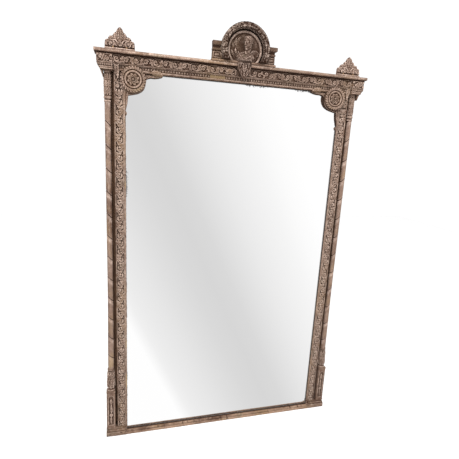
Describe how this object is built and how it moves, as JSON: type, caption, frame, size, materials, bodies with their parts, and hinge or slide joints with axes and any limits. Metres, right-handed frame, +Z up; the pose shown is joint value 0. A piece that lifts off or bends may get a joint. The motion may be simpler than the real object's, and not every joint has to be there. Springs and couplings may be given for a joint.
{
  "type": "trumeau mirror",
  "caption": "Tall leaning mirror in a carved limed-wood frame: side columns, frieze and cornice, arched crest with a relief bust, corner acroteria, and hanging rings on the back.",
  "frame": {"origin": "middle of the footprint, on the surface that the plinths stand on", "axes": "+Z up; the glass faces -Y, the wall side is +Y; +X is to the right seen from the front"},
  "size_m": [1.244, 0.12, 1.969],
  "materials": {
    "mirror_glass": "silvered plate glass",
    "carved_wood": "weathered limed brown, matte",
    "carcass_wood": "raw, aged softwood",
    "zinc_steel": "dull zinc plate"
  },
  "bodies": {
    "root": {"architrave": "carved_wood", "back_board_1": "carcass_wood", "back_board_2": "carcass_wood", "back_board_3": "carcass_wood", "back_board_4": "carcass_wood", "back_board_screws": "zinc_steel", "bottom_moulding": "carved_wood", "bottom_rail": "carcass_wood", "cornice_bed": "carved_wood", "cornice_slab": "carved_wood", "crest_arch": "carved_wood", "crest_back": "carved_wood", "crest_step": "carved_wood", "finial_dowels": "carcass_wood", "frieze_board": "carved_wood", "glazing_blocks": "carcass_wood", "hanger_screws": "zinc_steel", "lattice_strip": "carved_wood", "left_column_capital": "carved_wood", "left_column_drum": "carved_wood", "left_column_shaft": "carved_wood", "left_crest_block": "carved_wood", "left_crest_brace": "carcass_wood", "left_finial": "carved_wood", "left_frieze_end": "carved_wood", "left_hanger_strap": "zinc_steel", "left_leaf_bracket": "carved_wood", "left_pedestal": "carved_wood", "left_pilaster": "carved_wood", "left_plinth": "carved_wood", "left_rosette": "carved_wood", "left_roundel": "carved_wood", "left_spandrel": "carved_wood", "left_stile": "carcass_wood", "medallion": "carved_wood", "mirror_plate": "mirror_glass", "pendant": "carved_wood", "relief_bust": "carved_wood", "right_column_capital": "carved_wood", "right_column_drum": "carved_wood", "right_column_shaft": "carved_wood", "right_crest_block": "carved_wood", "right_crest_brace": "carcass_wood", "right_finial": "carved_wood", "right_frieze_end": "carved_wood", "right_hanger_strap": "zinc_steel", "right_leaf_bracket": "carved_wood", "right_pedestal": "carved_wood", "right_pilaster": "carved_wood", "right_plinth": "carved_wood", "right_rosette": "carved_wood", "right_roundel": "carved_wood", "right_spandrel": "carved_wood", "right_stile": "carcass_wood", "tenon_pegs": "carcass_wood", "top_rail": "carcass_wood"},
    "left_ring": {"left_hanger_ring": "zinc_steel"},
    "right_ring": {"right_hanger_ring": "zinc_steel"}
  },
  "joints": [
    {"name": "left_ring_swing", "type": "hinge", "parent": "root", "child": "left_ring", "pos_m": [-0.55, 0.0555, 1.46], "axis": [1, 0, 0], "range_deg": [0, 180]},
    {"name": "right_ring_swing", "type": "hinge", "parent": "root", "child": "right_ring", "pos_m": [0.55, 0.0555, 1.46], "axis": [1, 0, 0], "range_deg": [0, 180]}
  ]
}
